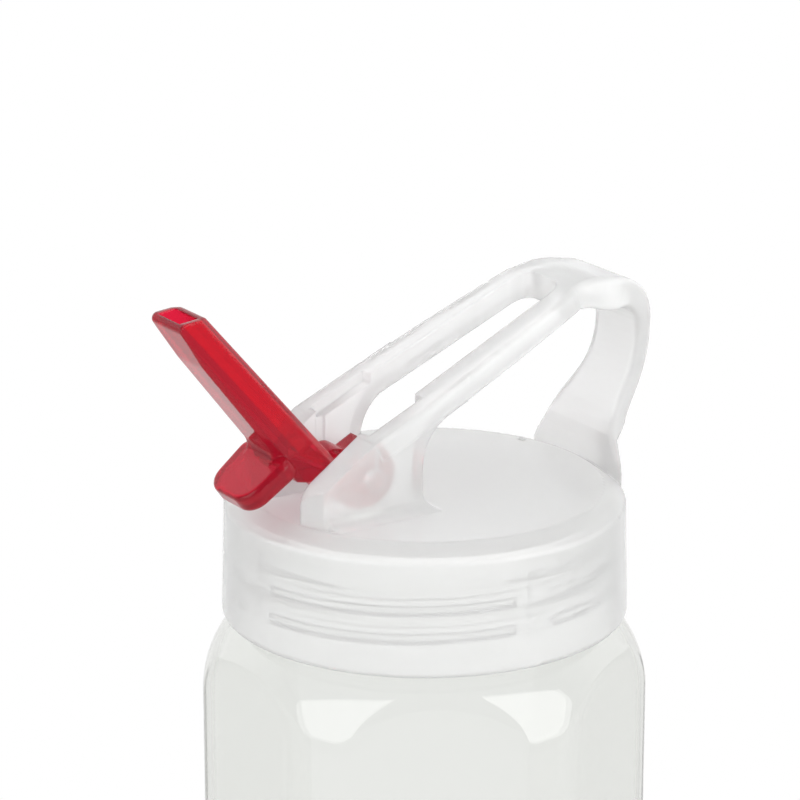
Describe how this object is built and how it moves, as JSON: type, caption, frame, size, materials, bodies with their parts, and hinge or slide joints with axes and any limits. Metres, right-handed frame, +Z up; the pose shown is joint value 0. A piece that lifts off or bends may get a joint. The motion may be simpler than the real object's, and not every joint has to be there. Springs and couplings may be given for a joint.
{
  "type": "flip-spout bottle",
  "caption": "Clear panelled drinking bottle with a translucent screw lid, a slanted carry handle and a red drinking spout that flips down flush between the handle's rails.",
  "frame": {"origin": "centre of the bottle's base, on the surface it stands on", "axes": "+Z up along the bottle's axis, -X towards the open spout, +Y across the handle"},
  "size_m": [0.0903, 0.0746, 0.256],
  "materials": {
    "bottle": "clear moulded plastic, polished",
    "lid": "milky translucent moulded plastic, satin",
    "lid_gasket": "soft white seal",
    "flip_spout": "translucent red moulded plastic, glossy",
    "spout_seal": "soft white seal"
  },
  "bodies": {
    "bottle": {"bottle": "bottle"},
    "lid_carrier": {"lid_gasket": "lid_gasket"},
    "lid": {"lid": "lid", "spout_seal": "spout_seal"},
    "spout": {"flip_spout": "flip_spout"}
  },
  "joints": [
    {"name": "lid_lift", "type": "slide", "parent": "bottle", "child": "lid_carrier", "axis": [0, 0, 1], "range_m": [0, 0.0094]},
    {"name": "lid_turn", "type": "hinge", "parent": "lid_carrier", "child": "lid", "pos_m": [0, 0, 0.207], "axis": [0, 0, 1], "range_deg": [0, 720]},
    {"name": "spout_flip", "type": "hinge", "parent": "lid", "child": "spout", "pos_m": [-0.016, 0, 0.2257], "axis": [0, 1, 0], "range_deg": [0, 106]}
  ],
  "couplings": [
    {"joint": "lid_lift", "follows": "lid_turn", "m_per_rad": 0.00074803}
  ]
}
